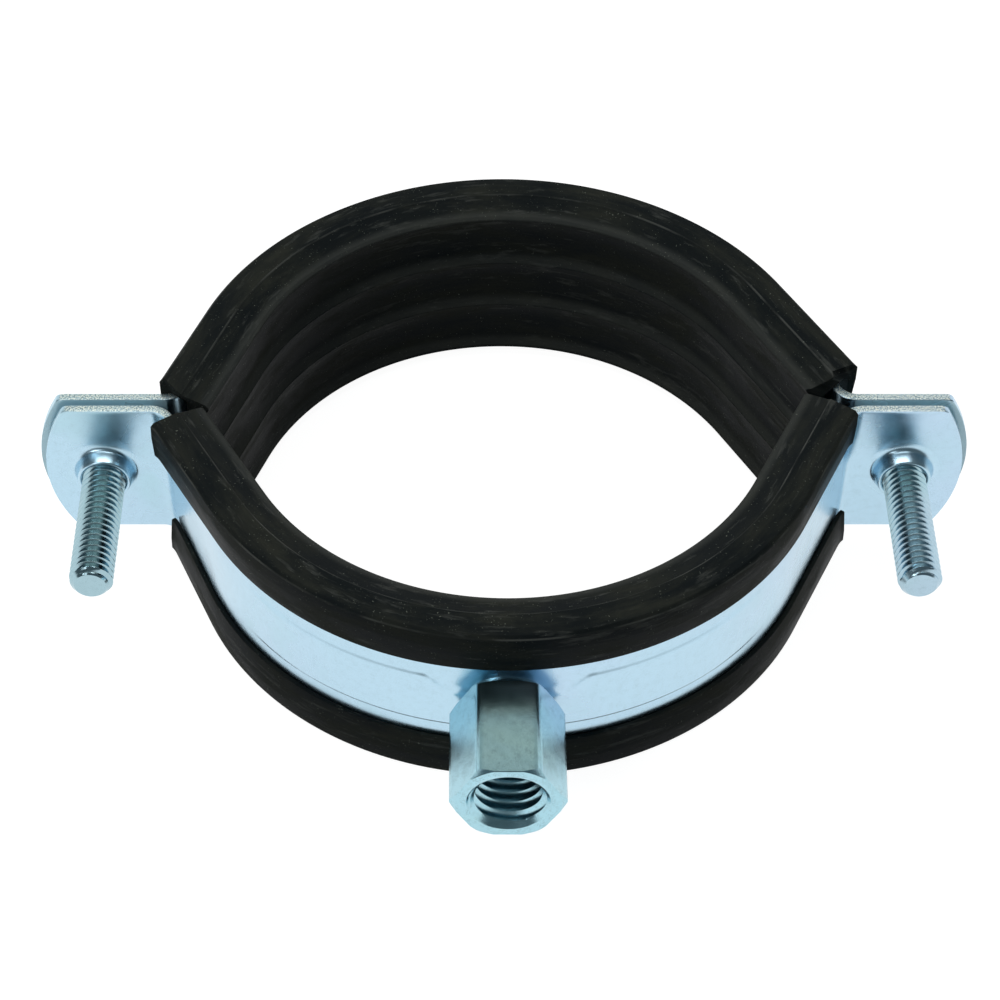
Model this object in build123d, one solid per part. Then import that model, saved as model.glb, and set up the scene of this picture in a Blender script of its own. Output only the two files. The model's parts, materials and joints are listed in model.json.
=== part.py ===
from build123d import *
from math import cos, radians, sin, tan
import os

# Two-screw pipe clamp: two half bands of steel strip, each with a rubber lining wrapped over its edges,
# a hexagon boss welded to the front band, and two screws that run in drawn collars of the front ears.
# Sizes in millimetres. Origin: centre of the pipe seat, halfway up the strip. Z runs along the pipe,
# X runs from screw to screw, and the boss points along -Y. The clamp lies on the rims of its linings.

os.makedirs("parts", exist_ok=True)

# Steel strip
STRIP_WIDTH = 22.6
STRIP_THICKNESS = 1.25
STRIP_RADIUS = 43.3            # outside of the round stretch
FRONT_ARC_ANGLES = (60.0, 64.0)  # from the crown of the front half to its left and right legs
REAR_ARC_ANGLES = (69.0, 61.0)
BEND_RADIUS = 2.2              # inside radius of the bend between leg and ear
EAR_GAP = 1.0                  # between the ears of a pair
FRONT_EAR_REACH = 60.0         # X at the corners of an ear
REAR_EAR_REACH = 60.9
EAR_END_RADIUS = 21.0          # the rounded end of an ear
EAR_CORNER_RADIUS = 0.8

# Stiffening bead pressed outwards along the strip
BEAD_HEIGHT = 0.6
BEAD_CREST_WIDTH = 8.2
BEAD_FOOT_WIDTH = 9.8
BEAD_END_ROUNDING = 1.0        # a bead's ends are rounder than half of it by this much less
BEAD_END_ANGLE = 54.0          # from the crown, to both sides

# Screws, M6, and the drawn collars that they run in
SCREW_SPACING = 110.4
SCREW_RADIUS = 2.95
SCREW_LENGTH = 25.0
SCREW_POINT_RADIUS = 2.2
HEAD_ACROSS_FLATS = 10.0
HEAD_CORNER_RADIUS = 5.6
HEAD_HEIGHT = 4.0
RECESS_DEPTH = 2.2
RECESS_WIDTH = 1.3
RECESS_SPAN = 5.2
HEAD_WASHER_RADIUS = 5.0       # round face under the head, clear of the bend of the strip
HEAD_WASHER_HEIGHT = 0.4
HEAD_EDGE_BEVEL = 0.5
COLLAR_BASE_RADIUS = 4.0
COLLAR_RIM_RADIUS = 3.6
COLLAR_HEIGHT = 2.3
COLLAR_HOLE_RADIUS = 3.0
COLLAR_FLARE = 0.5             # widens the collar where it leaves the ear
CLEARANCE_HOLE_RADIUS = 3.3

# Hexagon boss, M10
BOSS_ACROSS_FLATS = 13.0
BOSS_CORNER_RADIUS = 7.35      # the corners are turned down to this
BOSS_FACE_Y = -59.1
BOSS_BACK_Y = -44.7
BOSS_FACE_RADIUS = 6.75        # where the 30 degree chamfer meets the face
BOSS_BORE_RADIUS = 4.25
BOSS_COUNTERSINK_RADIUS = 5.3
BOSS_RELIEF_RADIUS = 5.05      # the bore opens out where it meets the band
BOSS_RELIEF_Y = -44.8
WELD_NECK_RADIUS = 6.1
WELD_FOOT_RADIUS = 6.9

# Rubber lining
LINING_WIDTH = 28.2
LINING_RADIUS = 44.3           # outside of the lips
SEAT_RADIUS = 36.4             # the crests that grip the pipe
GROOVE_DEPTH = 0.8
LIP_REACH = 7.35               # a lip's free edge is this far from the middle of the strip
LIP_EDGE_RADIUS = 44.0         # outside of a lip at its free edge
LINING_FIT = 0.15              # play between rubber and strip
SHOULDER_RADIUS = 40.2         # step in the side face
SHOULDER_STEP = 0.15
RIM_BEVEL = 1.0                # the side face slopes down by this much to the rim
RIM_ROUNDING = 0.4
CREST_WIDTH = 0.8
CREST_Z = 4.1
RIM_CREST_Z = 12.3
GROOVE_Z = 8.1
FRONT_END_SLANT = 36.0         # the front lining is cut obliquely
FRONT_END_Y = (-2.75, 0.3)     # inner corners of the front lining's ends: it has crept round towards +X
REAR_END_Y = (-2.0, 1.5)       # and the rear one towards -X
REAR_END_KNEE = (45.9, -0.2)   # there the rear ends turn steeply, to clear the bend of the strip
REAR_END_OUTER = (47.8, 4.5)

EAR_FACE_Y = -(EAR_GAP / 2 + STRIP_THICKNESS)
SCREW_X = SCREW_SPACING / 2
FAR = 80.0                     # past everything, for cutting solids
HOLE_CUT_DEPTH = 12.0          # goes right through an ear and its collar


def leg_x(radius, y, angle):
    """How far out the leg tangent to a circle at this angle from the crown crosses the given Y."""
    return (radius + y * cos(radians(angle))) / sin(radians(angle))


def side_line(angles, radius, ear_y, reach, bend):
    """One side of the strip in plan, from ear to ear round the front of the pipe."""
    left, right = angles
    apex_angle = radians(right - left) / 2
    apex = radius / cos(radians(left + right) / 2)
    points = [(-reach, ear_y), (-leg_x(radius, ear_y, left), ear_y)]
    points += [(apex * sin(apex_angle), -apex * cos(apex_angle))]
    points += [(leg_x(radius, ear_y, right), ear_y), (reach, ear_y)]
    return FilletPolyline(*points, radius=[bend, radius, bend])


def strip_plan(angles, reach, play=0.0):
    """Plan of the bent strip, grown on every side by the play."""
    outer = side_line(angles, STRIP_RADIUS + play, EAR_FACE_Y - play, reach, BEND_RADIUS - play)
    inner_radius = STRIP_RADIUS - STRIP_THICKNESS - play
    inner_bend = BEND_RADIUS + STRIP_THICKNESS + play
    inner = side_line(angles, inner_radius, -EAR_GAP / 2 + play, reach, inner_bend)
    return make_face(outer + Line(outer @ 1, inner @ 1) + inner + Line(inner @ 0, outer @ 0))


def ear_reach_at_middle(corner_reach):
    """How far the rounded end of an ear stands out at the middle of the strip."""
    half = STRIP_WIDTH / 2
    return corner_reach + EAR_END_RADIUS - (EAR_END_RADIUS**2 - half**2) ** 0.5


def front_view_outline(corner_reach):
    """Outline of the strip seen along Y, with its two rounded ends."""
    top = STRIP_WIDTH / 2
    bulge = ear_reach_at_middle(corner_reach)
    right = ThreePointArc((corner_reach, top), (bulge, 0), (corner_reach, -top))
    left = ThreePointArc((-corner_reach, -top), (-bulge, 0), (-corner_reach, top))
    face = make_face(right + Line(right @ 1, left @ 0) + left + Line(left @ 1, right @ 0))
    return Plane.XZ * fillet(face.vertices(), EAR_CORNER_RADIUS)


def bead(level):
    """Bead that stands out by its height from a cylinder of this radius, across the crown."""
    half_foot = BEAD_FOOT_WIDTH / 2
    length = 2 * level * sin(radians(BEAD_END_ANGLE))
    ring = Cylinder(level + BEAD_HEIGHT, BEAD_FOOT_WIDTH) - Cylinder(level - BEAD_HEIGHT, BEAD_FOOT_WIDTH)
    stencil = RectangleRounded(length, BEAD_FOOT_WIDTH, half_foot - BEAD_END_ROUNDING)
    pad = ring & extrude(Plane.XZ * stencil, FAR)
    crest = pad.faces().filter_by(GeomType.CYLINDER).sort_by(lambda face: face.area)[-1]
    slope = (BEAD_FOOT_WIDTH - BEAD_CREST_WIDTH) / 2
    return chamfer(crest.edges(), length=slope, length2=BEAD_HEIGHT, reference=crest)


def half_band(angles, corner_reach):
    """Bent strip with its bead, before its holes."""
    blank = extrude(strip_plan(angles, FAR), STRIP_WIDTH / 2, both=True)
    band = blank & extrude(front_view_outline(corner_reach), FAR, both=True)
    return band + bead(STRIP_RADIUS) - bead(STRIP_RADIUS - STRIP_THICKNESS)


def round_about_screw(points):
    """Solid of revolution about -Y, from (radius, distance along -Y) points."""
    return revolve(make_face(Polyline(*[(r, -d) for r, d in points], close=True)), Axis.Y)


def collar():
    """Metal drawn out of the ear round a screw."""
    foot = -EAR_FACE_Y
    rim = foot + COLLAR_HEIGHT
    flare = COLLAR_BASE_RADIUS + COLLAR_FLARE
    inside = foot - STRIP_THICKNESS / 2
    points = [(0, inside), (flare, inside), (flare, foot), (COLLAR_BASE_RADIUS, foot + COLLAR_FLARE)]
    points += [(COLLAR_RIM_RADIUS, rim), (0, rim)]
    return round_about_screw(points)


def ear_hole(x, radius):
    """Cutter for a round hole through an ear, and through its collar if it has one."""
    return Pos(x, EAR_FACE_Y, 0) * Rot(90, 0, 0) * Cylinder(radius, HOLE_CUT_DEPTH)


def front_band():
    """Half band that carries the boss, with a collar round each screw."""
    band = half_band(FRONT_ARC_ANGLES, FRONT_EAR_REACH)
    for x in (-SCREW_X, SCREW_X):
        band += Pos(x, 0, 0) * collar()
        band -= ear_hole(x, COLLAR_HOLE_RADIUS)
    return band


def rear_band():
    """Half band that the screw heads pull on, with a clearance hole for each screw."""
    band = half_band(REAR_ARC_ANGLES, REAR_EAR_REACH)
    for x in (-SCREW_X, SCREW_X):
        band -= ear_hole(x, CLEARANCE_HOLE_RADIUS)
    return mirror(band, Plane.XZ)


def hex_boss():
    """Hexagon boss, chamfered at both ends, on a weld that follows the round of the beaded band."""
    hexagon = RegularPolygon(BOSS_ACROSS_FLATS / 2, 6, major_radius=False)
    blank = extrude(Plane.XZ * hexagon, -BOSS_FACE_Y)
    chamfer_depth = (BOSS_CORNER_RADIUS - BOSS_FACE_RADIUS) * tan(radians(30))
    face, back = -BOSS_FACE_Y, -BOSS_BACK_Y
    inside = STRIP_RADIUS / 2
    turned = [(0, back), (BOSS_FACE_RADIUS, back), (BOSS_CORNER_RADIUS, back + chamfer_depth)]
    turned += [(BOSS_CORNER_RADIUS, face - chamfer_depth), (BOSS_FACE_RADIUS, face), (0, face)]
    weld_foot = STRIP_RADIUS - BEAD_HEIGHT
    weld = [(0, inside), (WELD_FOOT_RADIUS, inside), (WELD_FOOT_RADIUS, weld_foot), (WELD_NECK_RADIUS, back)]
    body = (blank & round_about_screw(turned)) + round_about_screw(weld + [(0, back)])
    sink = BOSS_COUNTERSINK_RADIUS - BOSS_BORE_RADIUS
    bore = [(0, inside), (BOSS_RELIEF_RADIUS, inside), (BOSS_RELIEF_RADIUS, STRIP_RADIUS + BEAD_HEIGHT)]
    bore += [(BOSS_BORE_RADIUS, -BOSS_RELIEF_Y), (BOSS_BORE_RADIUS, face - sink)]
    bore += [(BOSS_COUNTERSINK_RADIUS, face), (0, face)]
    body -= round_about_screw(bore)
    return body - Cylinder(STRIP_RADIUS, STRIP_WIDTH) - bead(STRIP_RADIUS)


def lining_profile():
    """Half section of a lining as (radius, height) points above the middle of the strip."""
    top = LINING_WIDTH / 2
    slot_out = STRIP_RADIUS + LINING_FIT
    slot_in = STRIP_RADIUS - STRIP_THICKNESS - LINING_FIT
    slot_top = STRIP_WIDTH / 2 + LINING_FIT
    groove = SEAT_RADIUS + GROOVE_DEPTH
    half_crest = CREST_WIDTH / 2
    side_rim = top - SHOULDER_STEP - RIM_BEVEL
    points = [(slot_in, 0), (slot_in, slot_top), (slot_out, slot_top), (slot_out, LIP_REACH)]
    points += [(LIP_EDGE_RADIUS, LIP_REACH), (LINING_RADIUS, slot_top), (LINING_RADIUS, top)]
    points += [(SHOULDER_RADIUS, top), (SHOULDER_RADIUS, top - SHOULDER_STEP)]
    points += [(SEAT_RADIUS + RIM_ROUNDING, side_rim), (SEAT_RADIUS, RIM_CREST_Z + half_crest)]
    points += [(SEAT_RADIUS, RIM_CREST_Z - half_crest), (groove, GROOVE_Z)]
    points += [(SEAT_RADIUS, CREST_Z + half_crest), (SEAT_RADIUS, CREST_Z - half_crest), (groove, 0)]
    upper = make_face(Polyline(*points, close=True))
    return upper + mirror(upper, Plane.XZ)


def slanted_cut(side, angle, end_y):
    """Points of the straight cut across a front lining end, from near the pipe axis to far outside."""
    inner_x = leg_x(SEAT_RADIUS, end_y, angle)
    slope = tan(radians(FRONT_END_SLANT))
    return [(0, end_y + inner_x * slope), (side * FAR, end_y - (FAR - inner_x) * slope)]


def kneed_cut(side, angle, end_y):
    """Points of the cut across a rear lining end, as if in front: flat inside, steep outside."""
    knee_x, knee_y = REAR_END_KNEE
    outer_x, outer_y = REAR_END_OUTER
    inner_x = leg_x(SEAT_RADIUS, -end_y, angle)
    level = (end_y - knee_y) / (knee_x - inner_x)
    steep = (outer_x - knee_x) / (outer_y - knee_y)
    outside = (side * (knee_x + (FAR - knee_y) * steep), -FAR)
    return [(0, -end_y - inner_x * level), (side * knee_x, -knee_y), outside]


def leg(section, polar_angle, way):
    """Straight stretch of a lining on from the section that stands at this polar angle."""
    turn = radians(polar_angle)
    return extrude(Rot(0, 0, polar_angle) * section, SEAT_RADIUS, dir=(-way * sin(turn), way * cos(turn), 0))


def lining(angles, left_cut, right_cut):
    """Rubber channel round a half band, from cut to cut, with lips over the edges of the strip."""
    left, right = angles
    section = Plane.XZ * lining_profile()
    rubber = revolve(Rot(0, 0, -90 - left) * section, Axis.Z, left + right)
    rubber += leg(section, -90 - left, -1) + leg(section, -90 + right, 1)
    keep = Polyline(*left_cut[::-1], *right_cut, (FAR, -2 * FAR), (-FAR, -2 * FAR), close=True)
    rubber = rubber & extrude(make_face(keep), FAR, both=True)
    return rubber - extrude(strip_plan(angles, FAR, LINING_FIT), STRIP_WIDTH / 2 + LINING_FIT, both=True)


def front_lining():
    left, right = FRONT_ARC_ANGLES
    left_y, right_y = FRONT_END_Y
    return lining(FRONT_ARC_ANGLES, slanted_cut(-1, left, left_y), slanted_cut(1, right, right_y))


def rear_lining():
    left, right = REAR_ARC_ANGLES
    left_y, right_y = REAR_END_Y
    rubber = lining(REAR_ARC_ANGLES, kneed_cut(-1, left, left_y), kneed_cut(1, right, right_y))
    return mirror(rubber, Plane.XZ)


def screw():
    """M6 screw pointing along -Y, its head seated behind the rear ear; the thread is left plain."""
    seat = EAR_FACE_Y
    top = seat - HEAD_HEIGHT
    tip = seat + SCREW_LENGTH
    point = SCREW_RADIUS - SCREW_POINT_RADIUS
    shank = [(0, seat), (SCREW_RADIUS, seat), (SCREW_RADIUS, tip - point)]
    shank += [(SCREW_POINT_RADIUS, tip), (0, tip)]
    hexagon = RegularPolygon(HEAD_ACROSS_FLATS / 2, 6, major_radius=False)
    head = Pos(0, -top, 0) * extrude(Plane.XZ * hexagon, HEAD_HEIGHT)
    under = seat - HEAD_WASHER_HEIGHT
    crown = [(0, top), (HEAD_WASHER_RADIUS, top), (HEAD_CORNER_RADIUS, top + HEAD_EDGE_BEVEL)]
    crown += [(HEAD_CORNER_RADIUS, under), (HEAD_WASHER_RADIUS, under), (HEAD_WASHER_RADIUS, seat), (0, seat)]
    head = head & round_about_screw(crown)
    for turn in (0, 90):
        head -= Rot(0, turn, 0) * Pos(0, -top, 0) * Box(RECESS_SPAN, 2 * RECESS_DEPTH, RECESS_WIDTH)
    return head + round_about_screw(shank)


export_step(front_band(), "parts/front_band.step")
export_step(rear_band(), "parts/rear_band.step")
export_step(hex_boss(), "parts/hex_boss.step")
export_step(front_lining(), "parts/front_lining.step")
export_step(rear_lining(), "parts/rear_lining.step")
export_step(Pos(-SCREW_X, 0, 0) * screw(), "parts/left_screw.step")
export_step(Pos(SCREW_X, 0, 0) * screw(), "parts/right_screw.step")
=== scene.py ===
"""Dresses the rubber lined pipe clamp: zinc plate, rubber, threads and the stage it lies on."""
import json
from math import acos, asin, ceil, cos, degrees, floor, hypot, pi, radians, sin, sqrt, tan

import bmesh
import bpy
from bpy.props import FloatProperty, FloatVectorProperty, PointerProperty
from mathutils import Matrix, Vector
from mathutils.geometry import intersect_line_line_2d


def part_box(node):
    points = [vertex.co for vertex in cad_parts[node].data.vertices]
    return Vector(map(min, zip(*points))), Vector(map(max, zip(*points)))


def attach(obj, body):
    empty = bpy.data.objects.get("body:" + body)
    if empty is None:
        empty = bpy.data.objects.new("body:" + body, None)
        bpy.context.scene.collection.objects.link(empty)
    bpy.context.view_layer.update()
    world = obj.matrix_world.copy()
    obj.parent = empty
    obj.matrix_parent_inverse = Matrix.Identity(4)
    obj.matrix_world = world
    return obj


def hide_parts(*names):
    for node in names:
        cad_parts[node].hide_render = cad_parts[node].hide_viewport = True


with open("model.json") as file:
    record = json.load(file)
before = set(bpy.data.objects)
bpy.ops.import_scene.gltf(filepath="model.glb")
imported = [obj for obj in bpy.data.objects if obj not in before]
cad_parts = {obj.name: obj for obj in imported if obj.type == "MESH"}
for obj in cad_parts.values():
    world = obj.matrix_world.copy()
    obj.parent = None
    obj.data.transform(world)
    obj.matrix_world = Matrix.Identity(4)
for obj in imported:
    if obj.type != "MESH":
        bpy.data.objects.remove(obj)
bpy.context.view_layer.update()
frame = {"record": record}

bl_info = {
    "name": "Rubber Lined Pipe Clamp",
    "version": (1, 0, 0),
    "blender": (4, 5, 0),
    "location": "3D View > Sidebar > Pipe Clamp",
    "description": "Finishes a split pipe clamp with zinc plate, rubber linings and cut threads",
    "category": "Object",
}

MM = 0.001
SEAT = next(mount for mount in frame["record"]["mounts"] if mount["name"] == "pipe_seat")
THREAD = next(mount for mount in frame["record"]["mounts"] if mount["name"] == "boss_thread")
SCREW_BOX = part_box("right_screw")
SCREW_X = (SCREW_BOX[0].x + SCREW_BOX[1].x) / 2
BOSS_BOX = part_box("hex_boss")
LINING_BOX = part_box("front_lining")
BAND_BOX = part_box("front_band")

# Heights of the rubber crests above the middle of a lining. Below it they are mirrored.
CRESTS = (12.3 * MM, 4.1 * MM)

# Angles from the crown, left and right, at which a strip leaves its round stretch.
FRONT_BENDS = (radians(66), radians(64))
REAR_BENDS = (radians(73), radians(66))


# ---- sizes and colours

def length(name, description, default):
    return FloatProperty(
        name=name, description=description, default=default, unit="LENGTH", precision=5)


def angle(name, description, default):
    return FloatProperty(
        name=name, description=description, default=radians(default), unit="ROTATION")


def colour(name, description, default):
    return FloatVectorProperty(
        name=name, description=description, default=default, subtype="COLOR", size=3, min=0, max=1)


def share(name, description, default):
    return FloatProperty(
        name=name, description=description, default=default, subtype="FACTOR", min=0, max=1)


class ClampZinc(bpy.types.PropertyGroup):
    """Colours of the zinc plate."""
    plate: colour("Plate", "Colour of the plated strip", (0.48, 0.675, 0.80))
    green: colour("Green Tint", "Greener patches of the plate", (0.42, 0.67, 0.71))
    violet: colour("Violet Tint", "Bluer patches of the plate", (0.54, 0.64, 0.84))
    bar: colour("Bar", "Colour of the plated boss", (0.39, 0.64, 0.73))
    bolt: colour("Bolt", "Colour of the plated screws", (0.36, 0.52, 0.58))
    glitter: colour("Glitter", "Bright grains of a sheared edge", (0.95, 1.0, 0.92))
    pits: colour("Pits", "Dark grains of a sheared edge", (0.22, 0.28, 0.26))
    # Painted reflection: pale colour on the faces the ears turn to each other, standing in for light
    # reflected into the gap between them.
    split: colour("Split", "Pale faces that two ears turn to each other", (0.60, 0.85, 0.95))
    roughness: share("Strip Roughness", "Roughness of the plated strip", 0.26)
    bar_roughness: share("Bar Roughness", "Roughness of the plated boss", 0.20)
    bolt_roughness: share("Bolt Roughness", "Roughness of the plated screws", 0.17)


class ClampRubber(bpy.types.PropertyGroup):
    """Colours of the rubber."""
    rubber: colour("Rubber", "Colour of clean rubber", (0.0088, 0.0118, 0.0130))
    smear: colour("Smear", "Colour of the dusty smears", (0.038, 0.040, 0.031))
    # Pale colour for the scuffs, for the moulded edges, which are partly wear and partly painted
    # highlight, and for the painted highlight just above each crest.
    pale_wear_and_highlight: colour("Bloom", "Colour of rubber gone pale at its ridges", (0.095, 0.100, 0.092))
    dust: colour("Dust", "Colour of the specks of dust", (0.22, 0.24, 0.20))
    roughness: share("Roughness", "Roughness of the rubber", 0.5)


class ClampLinings(bpy.types.PropertyGroup):
    """Sizes of the rubber linings."""
    seat: length("Seat Radius", "Radius of the crests that grip the pipe", SEAT["dims"]["r_mm"] * MM)
    outside: length("Outside Radius", "Radius of the outside of the lips", 44.3 * MM)
    width: length("Width", "From one side face to the other", LINING_BOX[1].z - LINING_BOX[0].z)
    groove: length("Groove Depth", "Depth of the grooves between crests", 0.8 * MM)
    lip_reach: length("Lip Reach", "From the middle of the strip to a lip's free edge", 7.35 * MM)
    lip_edge: length("Lip Edge Radius", "Outside radius of a lip at its free edge", 44.0 * MM)
    fit: length("Fit", "Play between rubber and strip", 0.05 * MM)
    shoulder: length("Shoulder Radius", "Radius of the step in the side face", 40.2 * MM)
    rounding: length("Rounding", "Radius of the moulded edges", 0.22 * MM)
    outer_chamfer: length("Outer Chamfer", "Chamfer at the outside of a side face", 0.5 * MM)
    seat_edge: length("Seat Edge", "Height at which the seat turns into the side face", 12.6 * MM)


class ClampBands(bpy.types.PropertyGroup):
    """Sizes of the steel strip."""
    strip_outside: length("Strip Radius", "Outside radius of the round stretch", 43.3 * MM)
    strip_thickness: length("Strip Thickness", "Thickness of the strip", 1.25 * MM)
    strip_width: length("Strip Width", "Width of the strip", BAND_BOX[1].z - BAND_BOX[0].z)
    bend_radius: length("Bend Radius", "Inside radius of the bend into an ear", 2.2 * MM)
    ear_face: length("Ear Face", "From the split to the outside of an ear", 1.75 * MM)
    ear_end: length("Ear End Radius", "Radius of the round end of an ear", 21.0 * MM)
    bead_height: length("Bead Height", "How far the pressed bead stands out", 0.36 * MM)
    bead_foot: length("Bead Half Width", "From the middle of the strip to a bead's edge", 4.9 * MM)
    hollow_depth: length("Hollow Depth", "Depth of the hollows beside the boss", 0.24 * MM)
    front_reach: length("Front Reach", "From the middle to the end of a front ear", 60.0 * MM)
    rear_reach: length("Rear Reach", "From the middle to the end of a rear ear", 60.9 * MM)
    front_hole: length("Front Hole Radius", "Hole in a front ear, under its collar", 3.1 * MM)
    rear_hole: length("Rear Hole Radius", "Hole in a rear ear", 3.3 * MM)


class ClampThreads(bpy.types.PropertyGroup):
    """Sizes of the boss, the screws and their threads."""
    boss_pitch: length("Boss Pitch", "Pitch of the thread in the boss", 1.5 * MM)
    boss_minor: length("Boss Minor Radius", "Inside radius of that thread", THREAD["dims"]["r_mm"] * MM)
    boss_major: length("Boss Major Radius", "Radius at the roots of that thread", 5.0 * MM)
    boss_corner: length("Boss Corner Radius", "Radius the hexagon is turned to", BOSS_BOX[1].x)
    boss_flats: length("Boss Across Flats", "Width of the hexagon", 13.0 * MM)
    boss_rim: length("Boss Rim Radius", "Radius at which the chamfers of the hexagon start", 6.75 * MM)
    boss_sink: length("Boss Sink Radius", "Radius of the countersink at the mouth", 5.3 * MM)
    boss_relief: length("Boss Relief Radius", "Radius of the bore where it meets the band", 5.05 * MM)
    weld_foot: length("Weld Foot Radius", "Radius of the weld on the band", 5.5 * MM)
    weld_neck: length("Weld Neck Radius", "Radius of the weld behind the hexagon", 5.3 * MM)
    screw_pitch: length("Screw Pitch", "Pitch of the screws", 1.0 * MM)
    screw_major: length("Screw Major Radius", "Outside radius of the screw thread", 2.95 * MM)
    screw_minor: length("Screw Minor Radius", "Radius at the roots of the screw thread", 2.38 * MM)
    head_flats: length("Head Across Flats", "Width of a screw head", 10.0 * MM)
    head_corner: length("Head Corner Radius", "Radius the head is turned to", 5.6 * MM)
    head_crown: length("Head Crown Radius", "Radius of the flat on top of a head", 5.05 * MM)
    head_flange: length("Head Flange Radius", "Radius of the step under a head", 5.0 * MM)
    recess_length: length("Recess Length", "Length of each arm pair of the cross recess", 5.2 * MM)
    recess_width: length("Recess Width", "Width of an arm of the cross recess", 1.3 * MM)
    recess_depth: length("Recess Depth", "Depth of the cross recess", 2.2 * MM)


class ClampStage(bpy.types.PropertyGroup):
    """Camera and light."""
    height: angle("Camera Height", "Angle of the camera above the floor", 46.706)
    distance: length("Camera Distance", "From the camera to the point it looks at", 367.96 * MM)
    sideways: length("Sideways", "How far the camera stands to the left", 4.937 * MM)
    look_at: length("Look At", "Height of the point the camera looks at", -8.035 * MM)
    lens: FloatProperty(name="Lens", description="Focal length", default=93.78, unit="CAMERA")
    shift: FloatProperty(name="Shift", description="Sideways shift of the frame", default=0.0316)
    panel: share("Panel", "Brightness of the panel high behind", 0.85)
    wall: share("Wall", "Brightness of the wall behind", 0.42)
    room: share("Room", "Brightness of the rest of the room", 0.10)
    key: FloatProperty(name="Key", description="Power of the main lamp", default=1.1, unit="POWER")
    fill: FloatProperty(name="Fill", description="Power of the fill lamp", default=0.7, unit="POWER")


# ---- meshes

def put_in_scene(name, mesh):
    piece = bpy.data.objects.new(name, mesh)
    bpy.context.scene.collection.objects.link(piece)
    return piece


def finish_mesh(mesh, sharp_angle):
    """Merges the points that meet and shades the mesh smooth but for its corners."""
    work = bmesh.new()
    work.from_mesh(mesh)
    bmesh.ops.remove_doubles(work, verts=work.verts, dist=0.002 * MM)
    bmesh.ops.recalc_face_normals(work, faces=work.faces)
    work.to_mesh(mesh)
    work.free()
    mesh.shade_smooth()
    mesh.set_sharp_from_angle(angle=sharp_angle)


def mesh_of_columns(name, columns, closing=None, sharp_angle=radians(32)):
    """Closed mesh of columns, each a list of points, that stand side by side round an axis.

    A thread climbs by one turn on its way round, so it closes on a column of its own.
    """
    around = len(columns)
    if closing:
        columns = columns + [closing]
    tall = len(columns[0])
    points = [point for column in columns for point in column]
    quads = []
    for number in range(around):
        here, there = number * tall, (number + 1) % len(columns) * tall
        quads += [(here + row, there + row, there + row + 1, here + row + 1) for row in range(tall - 1)]
    mesh = bpy.data.meshes.new(name)
    mesh.from_pydata(points, [], quads)
    finish_mesh(mesh, sharp_angle)
    return mesh


def swept_mesh(name, rings, facing):
    """Mesh of rings of points along a sweep, with its ends closed. Facing is 1 in front, -1 behind."""
    around = len(rings[0])
    points = [(x, facing * y, z) for ring in rings for x, y, z in ring]
    faces = []
    for ring in range(len(rings) - 1):
        base = ring * around
        for spot in range(around):
            beside = (spot + 1) % around
            faces.append((base + spot, base + beside, base + around + beside, base + around + spot))
    last = (len(rings) - 1) * around
    faces += [tuple(range(around)), tuple(range(last + around - 1, last - 1, -1))]
    mesh = bpy.data.meshes.new(name)
    mesh.from_pydata(points, [], faces)
    return mesh


def round_corners(points, radius, steps=3):
    """Closed outline with each corner eased by a short curve."""
    eased = []
    for number, corner in enumerate(points):
        before, after = points[number - 1], points[(number + 1) % len(points)]
        to_before, to_after = before - corner, after - corner
        turn = pi - to_before.angle(to_after)
        reach = min(radius * tan(turn / 2), 0.45 * to_before.length, 0.45 * to_after.length)
        start = corner + to_before.normalized() * reach
        end = corner + to_after.normalized() * reach
        for step in range(steps + 1):
            t = step / steps
            eased.append(start * (1 - t) ** 2 + corner * 2 * t * (1 - t) + end * t ** 2)
    return eased


def about_y(radius, turn, y):
    return (radius * sin(turn), y, radius * cos(turn))


def ease(value, low, high):
    """Smooth step from 0 at low to 1 at high."""
    part = min(1, max(0, (value - low) / (high - low)))
    return part * part * (3 - 2 * part)


def cut_away(piece, work):
    """Takes the solid held in a bmesh out of a piece, and leaves no modifier behind."""
    mesh = bpy.data.meshes.new("cutter")
    bmesh.ops.recalc_face_normals(work, faces=work.faces)
    work.to_mesh(mesh)
    work.free()
    cutter = put_in_scene("cutter", mesh)
    cut = piece.modifiers.new("cut", "BOOLEAN")
    cut.object = cutter
    cut.operation = "DIFFERENCE"
    cut.solver = "EXACT"
    cut.use_self = True
    bpy.context.view_layer.update()
    graph = bpy.context.evaluated_depsgraph_get()
    carved = bpy.data.meshes.new_from_object(piece.evaluated_get(graph))
    piece.modifiers.clear()
    carved.name = piece.data.name
    piece.data = carved
    bpy.data.objects.remove(cutter)


# ---- bands

# Angles from the crown between which a pressed bead runs out, and how soft its creases are.
BEAD_END = (radians(36), radians(54))
UPPER_CREASE, LOWER_CREASE = 1.0 * MM, 0.7 * MM

# Beside the boss the bead's upper edge sinks and softens, over this stretch from the middle.
BESIDE_BOSS = (7.2 * MM, 11.0 * MM)
EDGE_SINKS, CREASE_SOFTENS = 1.6 * MM, 1.0 * MM

# Middle of the hollow above it, across and up, and its radius.
HOLLOW_MIDDLE, HOLLOW_RADIUS = (9.0 * MM, 7.4 * MM), 4.2 * MM

# Rows of a strip's mesh: fine ones over the creases, coarse ones beyond, none on the edges.
FINE_ROWS, FINE_PITCH = range(-38, 54), 0.15 * MM
COARSE_ROWS, COARSE_PITCH = range(-18, 19), 0.6 * MM
ROW_GAP = 0.3 * MM

# Stations of a strip's mesh: in degrees round its crown, fine beside the boss, and in steps beyond.
FINE_TURN, COARSE_TURN, FINE_STRETCH = radians(0.25), radians(1.0), radians(17)
LEG_STEPS, BEND_STEPS, EAR_STEPS, END_STEPS = 6, 12, 5, 24

# Radii of a strip's edges outside and inside, and of the corners of an ear.
OUTER_EDGE, INNER_EDGE, EAR_CORNER = 0.14 * MM, 0.2 * MM, 0.8 * MM

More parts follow.
